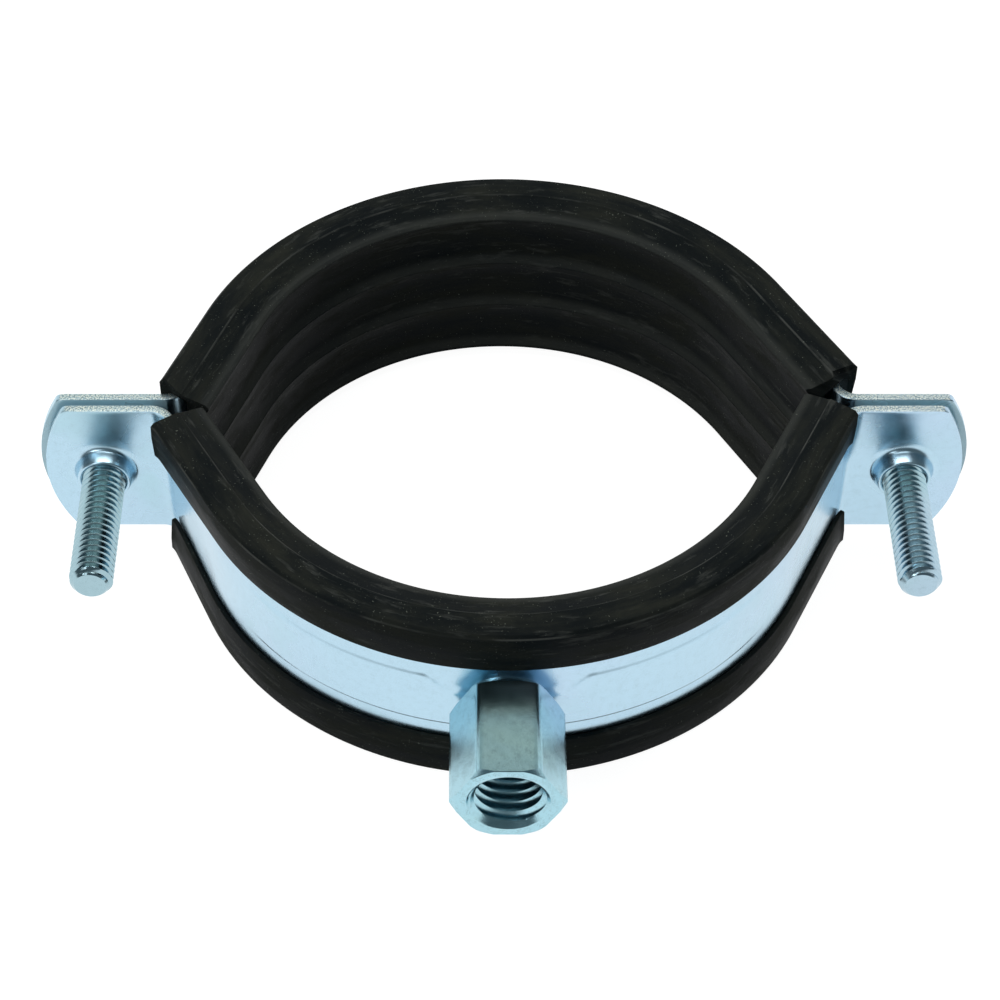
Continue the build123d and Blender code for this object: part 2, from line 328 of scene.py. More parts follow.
# Outline of a drawn collar. Its rim is radius and height over the ear, and its mouth radius and
# height over the ear's back, both in millimetres.
COLLAR_ROOT, COLLAR_NECK, COLLAR_FLARE = 5.3 * MM, 4.0 * MM, 0.9 * MM
COLLAR_RIM = ((3.66, 2.1), (3.58, 2.26), (3.42, 2.3), (3.2, 2.28), (3.04, 2.1))
COLLAR_MOUTH = ((3.02, 0.5), (3.15, 0.15), (3.45, 0.005))


def bead_height(sizes, turn, height, is_front):
    """How far the pressed bead stands out of the strip, at an angle from the crown and a height."""
    top, soft = sizes.bead_foot, UPPER_CREASE
    across = abs(turn) * sizes.strip_outside
    if is_front:
        near = 1 - ease(across, *BESIDE_BOSS)
        top -= EDGE_SINKS * near
        soft += CREASE_SOFTENS * near
    upper = 1 - ease(height, top - soft, top)
    lower = ease(height, -sizes.bead_foot, -sizes.bead_foot + LOWER_CREASE)
    rise = sizes.bead_height * (1 - ease(abs(turn), *BEAD_END)) * upper * lower
    if is_front:
        away = hypot(across - HOLLOW_MIDDLE[0], height - HOLLOW_MIDDLE[1])
        rise -= sizes.hollow_depth * (1 - ease(away, 0, HOLLOW_RADIUS))
    return rise


def strip_heights(sizes):
    """Heights of the rows of a strip as shares of its half width, close together at the creases."""
    half = sizes.strip_width / 2
    fine = [step * FINE_PITCH for step in FINE_ROWS]
    coarse = [step * COARSE_PITCH for step in COARSE_ROWS]
    beyond = [row for row in coarse if row < fine[0] - ROW_GAP or row > fine[-1] + ROW_GAP]
    return [row / half for row in sorted(fine + beyond) if abs(row) < half - ROW_GAP]


def strip_stations(sizes, bends, reach, is_front):
    """Stations along a strip: outer point, way through the metal, half width, angle from the crown."""
    radius, half = sizes.strip_outside, sizes.strip_width / 2
    ear_y, turn_radius = -sizes.ear_face, sizes.bend_radius
    sides = []
    for bend in bends:
        across, along = Vector((sin(bend), -cos(bend))), Vector((cos(bend), sin(bend)))
        centre = Vector(((radius + turn_radius + (ear_y - turn_radius) * cos(bend)) / sin(bend),
                         ear_y - turn_radius))
        leg = centre.dot(along)
        side = [(across * radius + along * leg * step / LEG_STEPS, -across, half)
                for step in range(1, LEG_STEPS)]
        for step in range(BEND_STEPS + 1):
            way = bend * (1 - step / BEND_STEPS)
            inwards = Vector((-sin(way), cos(way)))
            side.append((centre + inwards * turn_radius, inwards, half))
        side += [(Vector((x, ear_y)), Vector((0, 1)), wide)
                 for x, wide in ear_outline(sizes, centre.x, reach)]
        sides.append([(spot, through, wide, bend) for spot, through, wide in side])
    left = [(Vector((-spot.x, spot.y)), Vector((-through.x, through.y)), wide, -turn)
            for spot, through, wide, turn in reversed(sides[0])]
    middle = []
    turn = -bends[0]
    while turn < bends[1]:
        way = Vector((sin(turn), -cos(turn)))
        middle.append((way * radius, -way, half, turn))
        turn += FINE_TURN if is_front and abs(turn) < FINE_STRETCH else COARSE_TURN
    way = Vector((sin(bends[1]), -cos(bends[1])))
    middle.append((way * radius, -way, half, bends[1]))
    return left + middle + sides[1]


def ear_outline(sizes, start, reach):
    """Distances out along an ear and half widths there: straight sides, eased corners, round end."""
    half, end = sizes.strip_width / 2, sizes.ear_end
    middle = reach - sqrt(end ** 2 - half ** 2)
    straight = reach - EAR_CORNER - start
    spots = [(start + straight * step / EAR_STEPS, half) for step in range(1, EAR_STEPS + 1)]
    first = asin((half - EAR_CORNER) / end)
    after = (middle + end * cos(first), end * sin(first))
    for step in (0.25, 0.5, 0.75):
        before, bulge, beyond = (1 - step) ** 2, 2 * step * (1 - step), step ** 2
        spots.append((before * spots[-1][0] + bulge * reach + beyond * after[0],
                      (before + bulge) * half + beyond * after[1]))
    for step in range(END_STEPS):
        turn = first * (1 - step / END_STEPS)
        spots.append((middle + end * cos(turn), end * sin(turn)))
    return spots


def strip_mesh(name, sizes, bends, reach, is_front):
    """Bent, beaded strip with eased edges, before its holes."""
    shares = [-1] + strip_heights(sizes) + [1]
    thick = sizes.strip_thickness
    rings = []
    for spot, through, half, turn in strip_stations(sizes, bends, reach, is_front):
        small, large = min(OUTER_EDGE, half * 0.2), min(INNER_EDGE, half * 0.3)
        edge = [(small * 0.3, half - small * 0.3), (small, half), (thick - large, half),
                (thick - large * 0.62, half - large * 0.08), (thick - large * 0.3, half - large * 0.3),
                (thick - large * 0.08, half - large * 0.62)]
        beaded = -bends[0] < turn < bends[1]
        outside = [(half - small) * row for row in shares]
        inside = [(half - large) * row for row in reversed(shares)]
        ring = [(-bead_height(sizes, turn, z, is_front) * beaded, z) for z in outside]
        ring += edge
        ring += [(thick - bead_height(sizes, turn, z, is_front) * beaded, z) for z in inside]
        ring += [(depth, -z) for depth, z in reversed(edge)]
        rings.append([(*(spot + through * depth), z) for depth, z in ring])
    mesh = swept_mesh(name, rings, 1 if is_front else -1)
    finish_mesh(mesh, radians(35))
    return mesh


def drill_ears(piece, radius, y):
    """Round holes through both ears."""
    work = bmesh.new()
    for side in (-1, 1):
        drill = bmesh.ops.create_cone(
            work, cap_ends=True, segments=64, radius1=radius, radius2=radius, depth=4 * MM)
        for vert in drill["verts"]:
            vert.co = (vert.co.x + side * SCREW_X, y + vert.co.z, vert.co.y)
    cut_away(piece, work)


def collar_column(sizes, turn):
    """Points from the face of an ear out over the rim of its collar and back through the hole."""
    face, back = -sizes.ear_face, -sizes.ear_face + sizes.strip_thickness
    column = []
    for step in range(7):
        part = step / 6
        radius = COLLAR_ROOT + (COLLAR_NECK - COLLAR_ROOT) * (1 - (1 - part) ** 2)
        column.append((radius, face + 0.01 * MM - COLLAR_FLARE * part ** 2))
    column += [(radius * MM, face - high * MM) for radius, high in COLLAR_RIM]
    column += [(radius * MM, back - high * MM) for radius, high in COLLAR_MOUTH]
    return [about_y(radius, turn, y) for radius, y in column]


def add_collars(piece, sizes):
    """Joins a drawn collar to each ear of the front band."""
    work = bmesh.new()
    work.from_mesh(piece.data)
    count = 96
    columns = [collar_column(sizes, step * 2 * pi / count) for step in range(count)]
    for side in (-1, 1):
        mesh = mesh_of_columns("collar", columns, sharp_angle=radians(50))
        mesh.transform(Matrix.Translation((side * SCREW_X, 0, 0)))
        work.from_mesh(mesh)
        bpy.data.meshes.remove(mesh)
    work.to_mesh(piece.data)
    work.free()


def build_bands(settings):
    sizes, look = settings.bands, settings.zinc
    zinc = zinc_material(
        "zinc plated strip", look, look.plate, look.roughness, speckle=0.35, strength=0.3, strip=sizes)
    for name, bends, reach, hole, is_front in (
            ("front_band", FRONT_BENDS, sizes.front_reach, sizes.front_hole, True),
            ("rear_band", REAR_BENDS, sizes.rear_reach, sizes.rear_hole, False)):
        mesh = strip_mesh("pressed_" + name, sizes, bends, reach, is_front)
        piece = put_in_scene("pressed_" + name, mesh)
        middle = (sizes.ear_face - sizes.strip_thickness / 2) * (-1 if is_front else 1)
        drill_ears(piece, hole, middle)
        if is_front:
            add_collars(piece, sizes)
        piece.data.materials.clear()
        piece.data.materials.append(zinc)
        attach(piece, "front_half" if is_front else "rear_half")
        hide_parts(name)


# ---- linings

# The step in a side face, and the bevel between that face and the seat: across, and in height.
SHOULDER_STEP = (0.1 * MM, 0.2 * MM)
SEAT_BEVEL = (0.4 * MM, 0.35 * MM)

# Half the number of steps across a flute between two crests, and the power that flattens it.
FLUTE_STEPS = 7
FLUTE_POWER = 3

# A leg has this many rings, which crowd towards its cut to this power.
LEG_RINGS = 16
LEG_CROWDING = 1.7

# The cut end swells over the last of this length. The slot's roof ends this far above the strip.
SWELL_LENGTH = 1.3 * MM
ROOF_REACH = 0.2 * MM


def lining_outline(sizes, strip):
    """Section of a lining as points of radius and height, all the way round."""
    top, chamfer = sizes.width / 2, sizes.outer_chamfer
    slot_out = strip.strip_outside + sizes.fit
    slot_in = strip.strip_outside - strip.strip_thickness - sizes.fit
    slot_top = strip.strip_width / 2 + sizes.fit
    upper = [(slot_in, slot_top), (slot_out, slot_top), (slot_out, sizes.lip_reach)]
    upper += [(sizes.lip_edge, sizes.lip_reach), (sizes.outside, slot_top)]
    upper += [(sizes.outside, top - chamfer), (sizes.outside - chamfer, top)]
    upper += [(sizes.shoulder + SHOULDER_STEP[0], top), (sizes.shoulder, top - SHOULDER_STEP[1])]
    upper += [(sizes.seat + SEAT_BEVEL[0], sizes.seat_edge + SEAT_BEVEL[1])]
    upper += [(sizes.seat, sizes.seat_edge), (sizes.seat, CRESTS[0])]
    lower = [(radius, -height) for radius, height in reversed(upper)]
    outline = round_corners([Vector(point) for point in upper + lower], sizes.rounding)
    last = max(number for number, spot in enumerate(outline) if spot.y > 0)
    flutes = []
    for high, low in ((CRESTS[0], CRESTS[1]), (CRESTS[1], -CRESTS[1]), (-CRESTS[1], -CRESTS[0])):
        for step in range(1, 2 * FLUTE_STEPS):
            part = step / FLUTE_STEPS - 1
            depth = sizes.groove * (1 - abs(part) ** FLUTE_POWER)
            flutes.append(Vector((sizes.seat + depth, (high + low) / 2 - part * (high - low) / 2)))
        flutes.append(Vector((sizes.seat, low)))
    return outline[:last + 1] + flutes[:-1] + outline[last + 1:]


def spot_on_leg(radius, bend, along):
    """Plan point on the straight leg that starts at this angle from the crown."""
    return Vector((radius * sin(bend) + along * cos(bend), -radius * cos(bend) + along * sin(bend)))


def leg_run(radius, bend, cut):
    """How far the line at this radius runs along its leg before it meets the cut."""
    before, beyond = 10 * MM, 60 * MM
    start, end = spot_on_leg(radius, bend, -before), spot_on_leg(radius, bend, beyond)
    for near, far in zip(cut, cut[1:]):
        hit = intersect_line_line_2d(start, end, near, far)
        if hit:
            return (hit - start).length - before
    raise RuntimeError("a lining end misses its cut")


def slot_dip(radius, spread, along):
    """How far the strip, bent further round than the lining, has moved in under it."""
    if along < radius * sin(spread):
        return radius - sqrt(radius ** 2 - along ** 2)
    return radius * (1 - cos(spread)) + (along - radius * sin(spread)) * tan(spread)


def lining_end(outline, settings, bend, spread, cut, lean, lip_stop, flare):
    """Rings of plan points, with heights, from the end of the round stretch to the cut.

    The cut leans outwards below the top. The lips stop at lip_stop, and flare at the cut.
    """
    sizes, strip = settings.linings, settings.bands
    slot_middle = strip.strip_outside - strip.strip_thickness / 2
    slot_inside = sizes.shoulder + 1 * MM
    half = strip.strip_width / 2
    rings = []
    for step in range(1, LEG_RINGS + 1):
        part = 1 - (1 - step / LEG_RINGS) ** LEG_CROWDING
        ring = []
        for radius, height in outline:
            run = leg_run(radius, bend, cut) + lean * (sizes.width / 2 - height) / sin(bend)
            outer = radius > slot_middle
            if outer and abs(height) < half:
                run = min(run, (radius * cos(bend) - lip_stop) / sin(bend))
            left = run * (1 - part)
            swell = flare * max(0, 1 - left / SWELL_LENGTH) ** 2 if outer else 0
            in_slot = abs(height) < half + ROOF_REACH and slot_inside < radius <= slot_middle
            if in_slot or outer and height < 0:
                swell -= slot_dip(radius, spread, run * part)
            spot = spot_on_leg(radius + swell, bend, run * part)
            ring.append((spot.x, spot.y, height))
        rings.append(ring)
    return rings


def lining_mesh(name, outline, settings, bends, strip_bends, cuts, lean, lip_stop, flares, facing):
    """Swept rubber channel: left leg, round stretch, right leg."""
    left, right = (
        lining_end(outline, settings, bend, strip_bend - bend, cut, lean, lip_stop, flare)
        for bend, strip_bend, cut, flare in zip(bends, strip_bends, cuts, flares))
    rings = [[(-x, y, z) for x, y, z in ring] for ring in reversed(left)]
    count = ceil(degrees(sum(bends)))
    for step in range(count + 1):
        turn = -bends[0] + sum(bends) * step / count
        rings.append([(radius * sin(turn), -radius * cos(turn), height) for radius, height in outline])
    rings += right
    mesh = swept_mesh(name, rings, facing)
    lay_out_lining(mesh, outline, len(rings))
    finish_mesh(mesh, radians(30))
    return mesh


def section_lengths(outline):
    """How far round the section each of its points is, and the whole way round last."""
    down = [0.0]
    for number in range(len(outline)):
        down.append(down[-1] + (outline[(number + 1) % len(outline)] - outline[number]).length)
    return down


def lay_out_lining(mesh, outline, rings):
    """Texture layout in metres: along the lining and round its section."""
    layer = mesh.uv_layers.new(name="along")
    around = len(outline)
    down = section_lengths(outline)
    along = [0.0]
    for ring in range(1, rings):
        here, there = mesh.vertices[(ring - 1) * around].co, mesh.vertices[ring * around].co
        along.append(along[-1] + (here - there).length)
    for face in mesh.polygons:
        spots = [mesh.loops[index].vertex_index for index in face.loop_indices]
        places = [spot % around for spot in spots]
        wraps = len(spots) == 4 and max(places) - min(places) > 1
        for index, spot, place in zip(face.loop_indices, spots, places):
            if wraps and place == 0:
                place = around
            layer.data[index].uv = (along[spot // around], down[place])


def straight_cut(inner, outer):
    """Cut from an inner corner outwards, in the plan of the front half, and on past both."""
    inner, outer = Vector(inner) * MM, Vector(outer) * MM
    beyond = (outer - inner) * 5
    return [inner - beyond, outer + beyond]


def kneed_cut(*spots):
    """Cut that follows the strip for a way, in the plan of the front half."""
    return [Vector(spot) * MM for spot in spots]


def build_linings(settings):
    outline = lining_outline(settings.linings, settings.bands)
    rubber = rubber_material(settings.rubber, *ridge_places(outline, settings.linings))
    front = lining_mesh(
        "rubber_front_lining", outline, settings, (radians(60), radians(64)), FRONT_BENDS,
        (straight_cut((40.9, -2.75), (47.1, -6.9)), straight_cut((40.4, 0.3), (47.4, -4.8))),
        lean=0.075, lip_stop=-3.2 * MM, flares=(0.2 * MM, 0.25 * MM), facing=1)
    rear = lining_mesh(
        "rubber_rear_lining", outline, settings, (radians(69), radians(61)), REAR_BENDS,
        (kneed_cut((50, -1.3), (44.3, -1.95), (43.9, 1.2), (40.9, 2.0), (30, 8.2)),
         kneed_cut((50, -4.6), (44.1, -4.5), (44.4, -3.4), (44.9, -1.2), (42.5, -0.6),
                   (40.2, -1.5), (30, -5))),
        lean=0, lip_stop=-3.4 * MM, flares=(0.05 * MM, 0.05 * MM), facing=-1)
    for mesh, node, body in ((front, "front_lining", "front_half"), (rear, "rear_lining", "rear_half")):
        mesh.materials.append(rubber)
        piece = put_in_scene(mesh.name, mesh)
        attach(piece, body)
        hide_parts(node)


# ---- threads, boss and screws

# Steps of one turn of thread, from the middle of a root to the next.
THREAD_STEPS = (0.0, 0.125, 0.2, 0.28, 0.36, 0.4375, 0.5, 0.5625, 0.64, 0.72, 0.8, 0.875)

# Shares of the pitch: from the middle of a crest to a flank's foot, and how far a flank runs.
FLANK_FOOT = 0.375
FLANK_RUN = 0.3125


def thread_height(turn):
    """Height of a 60 degree thread, from 0 at its root to 1 at its crest."""
    off_crest = abs(turn % 1 - 0.5)
    return min(1, max(0, (FLANK_FOOT - off_crest) / FLANK_RUN))


def thread_heights(start, end, pitch, turn):
    """Heights along the axis of the rows of a right-hand thread at this part of a turn."""
    first, last = floor(start / pitch) - 2, ceil(end / pitch) + 1
    rows = [(lap + step + turn) * pitch for lap in range(first, last) for step in THREAD_STEPS]
    return [min(end, max(start, row)) for row in rows]


def hexagon_angles(flats, corner_radius, chamfer_radius):
    """Angles about the axis at which a turned hexagon needs a column."""
    corner = acos(flats / 2 / corner_radius)
    rim = acos(flats / 2 / chamfer_radius)
    half = [rim * 0.35, rim * 0.7, rim, rim + (corner - rim) / 3, rim + (corner - rim) * 2 / 3, corner]
    offsets = [-a for a in reversed(half)] + [0] + half + [pi / 6]
    return [side * pi / 3 + offset for side in range(6) for offset in offsets]


def hexagon_radius(turn, flats, corner_radius):
    off_flat = (turn + pi / 6) % (pi / 3) - pi / 6
    return min(flats / 2 / cos(off_flat), corner_radius)


# The boss along Y: its face, the back of its hexagon and the blind end of its bore.
BOSS_FACE, BOSS_BACK, BORE_END = BOSS_BOX[0].y, -44.7 * MM, -43.05 * MM

# Where the weld behind it narrows and ends, and how steeply the bore opens out at its end.
WELD_WAIST, WELD_NECK, WELD_TOP = -43.75 * MM, -44.1 * MM, -44.45 * MM
RELIEF_SLOPE = 0.7

# Softness of the turned edges of boss and screws.
BOSS_EDGE = 0.09 * MM
HEAD_EDGE = 0.1 * MM


def boss_column(sizes, strip_outside, turn):
    """Points from the weld up the side of the boss, over its face and down its thread."""
    side = hexagon_radius(turn, sizes.boss_flats, sizes.boss_corner)
    rim = min(side, sizes.boss_rim)
    drop = (side - rim) * tan(radians(30))
    on_band = -sqrt(strip_outside ** 2 - (sizes.weld_foot * sin(turn)) ** 2) + 0.05 * MM
    column = [(sizes.weld_foot, on_band), ((sizes.weld_foot + sizes.weld_neck) / 2, WELD_WAIST)]
    column += [(sizes.weld_neck, WELD_NECK), (sizes.weld_neck, WELD_TOP), (rim - 0.3 * MM, BOSS_BACK)]
    column += [(rim, BOSS_BACK - BOSS_EDGE), (side, BOSS_BACK - drop - BOSS_EDGE * 1.5)]
    column += [(side, BOSS_BACK + (BOSS_FACE - BOSS_BACK) * part) for part in (0.2, 0.4, 0.6, 0.8)]
    column += [(side, BOSS_FACE + drop + BOSS_EDGE * 1.5), (rim, BOSS_FACE + BOSS_EDGE)]
    column += [(rim - BOSS_EDGE, BOSS_FACE), (sizes.boss_sink + BOSS_EDGE, BOSS_FACE)]
    mouth = BOSS_FACE + BOSS_EDGE * 0.5
    column.append((sizes.boss_sink, mouth))
    depth = sizes.boss_major - sizes.boss_minor
    for y in thread_heights(mouth, BORE_END, sizes.boss_pitch, turn / (2 * pi)):
        groove = sizes.boss_major - depth * thread_height(y / sizes.boss_pitch - turn / (2 * pi))
        sink = sizes.boss_sink - (y - mouth)
        relief = sizes.boss_relief - (BORE_END - y) * RELIEF_SLOPE
        column.append((max(groove, sink, relief), y))
    return [about_y(radius, turn, y) for radius, y in column]


def build_boss(settings):
    sizes, strip_outside = settings.threads, settings.bands.strip_outside
    angles = hexagon_angles(sizes.boss_flats, sizes.boss_corner, sizes.boss_rim)
    columns = [boss_column(sizes, strip_outside, turn) for turn in angles]
    closing = boss_column(sizes, strip_outside, angles[0] + 2 * pi)
    mesh = mesh_of_columns("threaded_hex_boss", columns, closing)
    zinc = settings.zinc
    mesh.materials.append(zinc_material(
        "zinc plated bar", zinc, zinc.bar, zinc.bar_roughness, speckle=1.0, strength=0.75))
    piece = put_in_scene(mesh.name, mesh)
    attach(piece, "front_half")
    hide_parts("hex_boss")


def screw_column(sizes, turn, tip, seat, top):
    """Points from the middle of the tip along the thread and over the head."""
    side = hexagon_radius(turn, sizes.head_flats, sizes.head_corner)
    crown = min(side, sizes.head_crown)
    flat, cone, middle = 1.6 * MM, 2.15 * MM, 3.4 * MM
    column = [(0, tip), (flat, tip)]
    for y in thread_heights(tip, seat, sizes.screw_pitch, turn / (2 * pi)):
        ridge = thread_height(y / sizes.screw_pitch - turn / (2 * pi))
        radius = sizes.screw_minor + (sizes.screw_major - sizes.screw_minor) * ridge
        column.append((min(radius, cone + (y - tip)), y))
    step = seat + 0.4 * MM
    column += [(sizes.head_flange, seat), (sizes.head_flange, step), (side - HEAD_EDGE, step)]
    column += [(side, step + HEAD_EDGE), (side, top - (side - crown) * 0.8 - HEAD_EDGE)]
    column += [(crown, top - 0.6 * HEAD_EDGE), (crown - HEAD_EDGE, top), (middle, top), (0, top)]
    return [about_y(radius, turn, y) for radius, y in column]


def cut_recess(piece, sizes, top):
    """Cross recess in the middle of a screw head."""
    work = bmesh.new()
    long, wide, tall = sizes.recess_length, sizes.recess_width, 2 * sizes.recess_depth
    for across, high in ((long, wide), (wide, long)):
        for vert in bmesh.ops.create_cube(work, size=1)["verts"]:
            vert.co = (vert.co.x * across, top + vert.co.y * tall, vert.co.z * high)
    cut_away(piece, work)


def build_screws(settings):
    sizes, look = settings.threads, settings.zinc
    zinc = zinc_material(
        "zinc plated screw", look, look.bolt, look.bolt_roughness, speckle=0.4, strength=0.3)
    low, high = SCREW_BOX
    seat = settings.bands.ear_face
    angles = hexagon_angles(sizes.head_flats, sizes.head_corner, sizes.head_crown)
    columns = [screw_column(sizes, turn, low.y, seat, high.y) for turn in angles]
    closing = screw_column(sizes, angles[0] + 2 * pi, low.y, seat, high.y)
    for name, side in (("left_screw", -1), ("right_screw", 1)):
        mesh = mesh_of_columns("threaded_" + name, columns, closing)
        piece = put_in_scene("threaded_" + name, mesh)
        cut_recess(piece, sizes, high.y)
        for vert in piece.data.vertices:
            vert.co.x += side * SCREW_X
        piece.data.materials.clear()
        piece.data.materials.append(zinc)
        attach(piece, name)
        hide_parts(name)


# ---- shader groups

class Tree:
    """Short hand for placing nodes and linking them in one shader tree."""

    def __init__(self, tree):
        self.tree = tree
        self.column = 0

    def node(self, kind, settings=None, **inputs):
        node = self.tree.nodes.new(kind)
        node.location = (self.column * 180, 0)
        self.column += 1
        for key, value in (settings or {}).items():
            setattr(node, key, value)
        for key, value in inputs.items():
            self.feed(node, key.replace("_", " "), value)
        return node

    def feed(self, node, key, value):
        socket = node.inputs[key] if isinstance(key, int) else self.find(node, key)
        if isinstance(value, bpy.types.NodeSocket):
            self.tree.links.new(value, socket)
        else:
            socket.default_value = value

    @staticmethod
    def find(node, key):
        for socket in node.inputs:
            if socket.name.lower() == key.lower() and socket.enabled:
                return socket
        raise RuntimeError(f"{node.bl_idname} has no input {key}")

    def math(self, operation, first, second=0.5, clamp=False):
        node = self.node("ShaderNodeMath", {"operation": operation, "use_clamp": clamp})
        self.feed(node, 0, first)
        self.feed(node, 1, second)
        return node.outputs[0]

    def times(self, first, second, clamp=False):
        return self.math("MULTIPLY", first, second, clamp)

    def mix(self, part, first, second):
        node = self.node("ShaderNodeMix", {"data_type": "RGBA"})
        self.feed(node, 0, part)
        for index, value in ((6, first), (7, second)):
            if not isinstance(value, bpy.types.NodeSocket) and len(value) == 3:
                value = (*value, 1)
            self.feed(node, index, value)
        return node.outputs[2]

    def ramp(self, value, low, high, to_low=0.0, to_high=1.0):
        node = self.node("ShaderNodeMapRange", {"interpolation_type": "SMOOTHSTEP"})
        for index, item in enumerate((value, low, high, to_low, to_high)):
            self.feed(node, index, item)
        return node.outputs[0]

    def noise(self, vector, scale, detail=3.0, roughness=0.5, distortion=0.0):
        node = self.node("ShaderNodeTexNoise", Scale=scale, Detail=detail, Roughness=roughness,
                         Distortion=distortion, Vector=vector)
        return node.outputs[0]

    def stretched(self, vector, scale):
        node = self.node("ShaderNodeMapping", Vector=vector, Scale=scale)
        return node.outputs[0]


def shader_group(name, inputs, outputs):
    """Tree of a new shader node group, what is given to the group, and its output node."""
    group = bpy.data.node_groups.new(name, "ShaderNodeTree")
    for label, kind, default in inputs:
        socket = group.interface.new_socket(label, in_out="INPUT", socket_type="NodeSocket" + kind)
        if default is not None:
            socket.default_value = default
    for label, kind in outputs:
        group.interface.new_socket(label, in_out="OUTPUT", socket_type="NodeSocket" + kind)
    tree = Tree(group)
    return tree, tree.node("NodeGroupInput").outputs, tree.node("NodeGroupOutput")


def plate_tint_group(name):
    """Cloudy change of hue over zinc plate."""
    tree, given, result = shader_group(
        name,
        [("Vector", "Vector", None), ("Plate", "Color", None), ("Green", "Color", None),
         ("Violet", "Color", None), ("Scale", "Float", 90.0), ("Strength", "Float", 0.6)],
        [("Color", "Color"), ("Cloud", "Float")])
    cloud = tree.noise(given["Vector"], given["Scale"], 4.0, 0.6, 0.6)
    drift = tree.noise(given["Vector"], tree.times(given["Scale"], 0.45), 3.0)
    green = tree.times(tree.ramp(cloud, 0.50, 0.68), given["Strength"])
    violet = tree.times(tree.ramp(drift, 0.50, 0.66), given["Strength"])
    tinted = tree.mix(green, given["Plate"], given["Green"])
    tinted = tree.mix(violet, tinted, given["Violet"])
    tree.feed(result, "Color", tinted)
    tree.feed(result, "Cloud", cloud)
    return tree.tree


def speckle_group(name):
    """Fine grains scattered over a surface, as a mask and a height."""
    tree, given, result = shader_group(
        name,
        [("Vector", "Vector", None), ("Scale", "Float", 2500.0), ("Cover", "Float", 0.4)],
        [("Grains", "Float"), ("Height", "Float")])
    fine = tree.noise(given["Vector"], given["Scale"], 2.0, 0.6)
    patch = tree.noise(given["Vector"], tree.times(given["Scale"], 0.12), 3.0)
    level = tree.math("SUBTRACT", 0.80, tree.times(given["Cover"], patch))
    grains = tree.times(tree.math("SUBTRACT", fine, level), 14.0, clamp=True)
    tree.feed(result, "Grains", grains)
    tree.feed(result, "Height", fine)
    return tree.tree


def scuff_group(name):
    """Thin scratches and rubbed streaks that run along a surface."""
    tree, given, result = shader_group(
        name,
        [("Vector", "Vector", None), ("Scale", "Float", 300.0), ("Cover", "Float", 0.4)],
        [("Streaks", "Float")])
    lines = tree.noise(given["Vector"], given["Scale"], 4.0, 0.65, 0.15)
    patch = tree.noise(given["Vector"], tree.times(given["Scale"], 0.16), 2.0)
    level = tree.math("SUBTRACT", 0.82, tree.times(given["Cover"], patch))
    streaks = tree.times(tree.math("SUBTRACT", lines, level), 7.0, clamp=True)
    tree.feed(result, "Streaks", streaks)
    return tree.tree


def place_group(tree, name, build, **inputs):
    """Outputs of a shader node group placed in a material. The group is built only once."""
    group = bpy.data.node_groups.get(name) or build(name)
    node = tree.node("ShaderNodeGroup", {"node_tree": group})
    for key, value in inputs.items():
        if not isinstance(value, (bpy.types.NodeSocket, float, int)) and len(value) == 3:
            value = (*value, 1)
        tree.feed(node, key, value)
    return node.outputs


def new_material(name):
    """Material with its tree, its shader and object coordinates."""
    material = bpy.data.materials.new(name)
    material.use_nodes = True
    shader = material.node_tree.nodes["Principled BSDF"]
    tree = Tree(material.node_tree)
    coordinates = tree.node("ShaderNodeTexCoord")
    return material, tree, shader, coordinates.outputs


def bump(tree, height, distance, strength, normal=None):
    node = tree.node("ShaderNodeBump", Strength=strength, Distance=distance, Height=height)
    if normal:
        tree.feed(node, "Normal", normal)
    return node.outputs[0]


def sheared_edge(tree, place, sizes):
    """1 on the sheared edges of the strip, which face up or down, and 0 on its rolled faces."""
    facing = tree.node("ShaderNodeNewGeometry").outputs["Normal"]
    up = tree.math("ABSOLUTE", tree.node("ShaderNodeSeparateXYZ", Vector=facing).outputs[2])
    high = tree.math("ABSOLUTE", tree.node("ShaderNodeSeparateXYZ", Vector=place).outputs[2])
    at_edge = tree.math("GREATER_THAN", high, sizes.strip_width / 2 - 0.1 * MM)
    return tree.times(tree.ramp(up, 0.6, 0.9), at_edge)


# ---- materials

# Cells per metre of the noises in the materials.
PLATE_CLOUDS, PLATE_GRAINS, PLATE_DENTS, SHEARED_GRAINS = 48.0, 8200.0, 150.0, 4600.0
RUBBER_SMEARS, RUBBER_WEAR, RUBBER_SCUFFS = 130.0, 260.0, 900.0
RUBBER_SPECKS, RUBBER_WAVES = 3600.0, 420.0

# How deep the dents and grains of the plate and the waves and grains of the rubber look.
PLATE_DENT, PLATE_GRAIN = 0.30 * MM, 0.015 * MM
RUBBER_WAVE, RUBBER_GRAIN = 0.12 * MM, 0.04 * MM


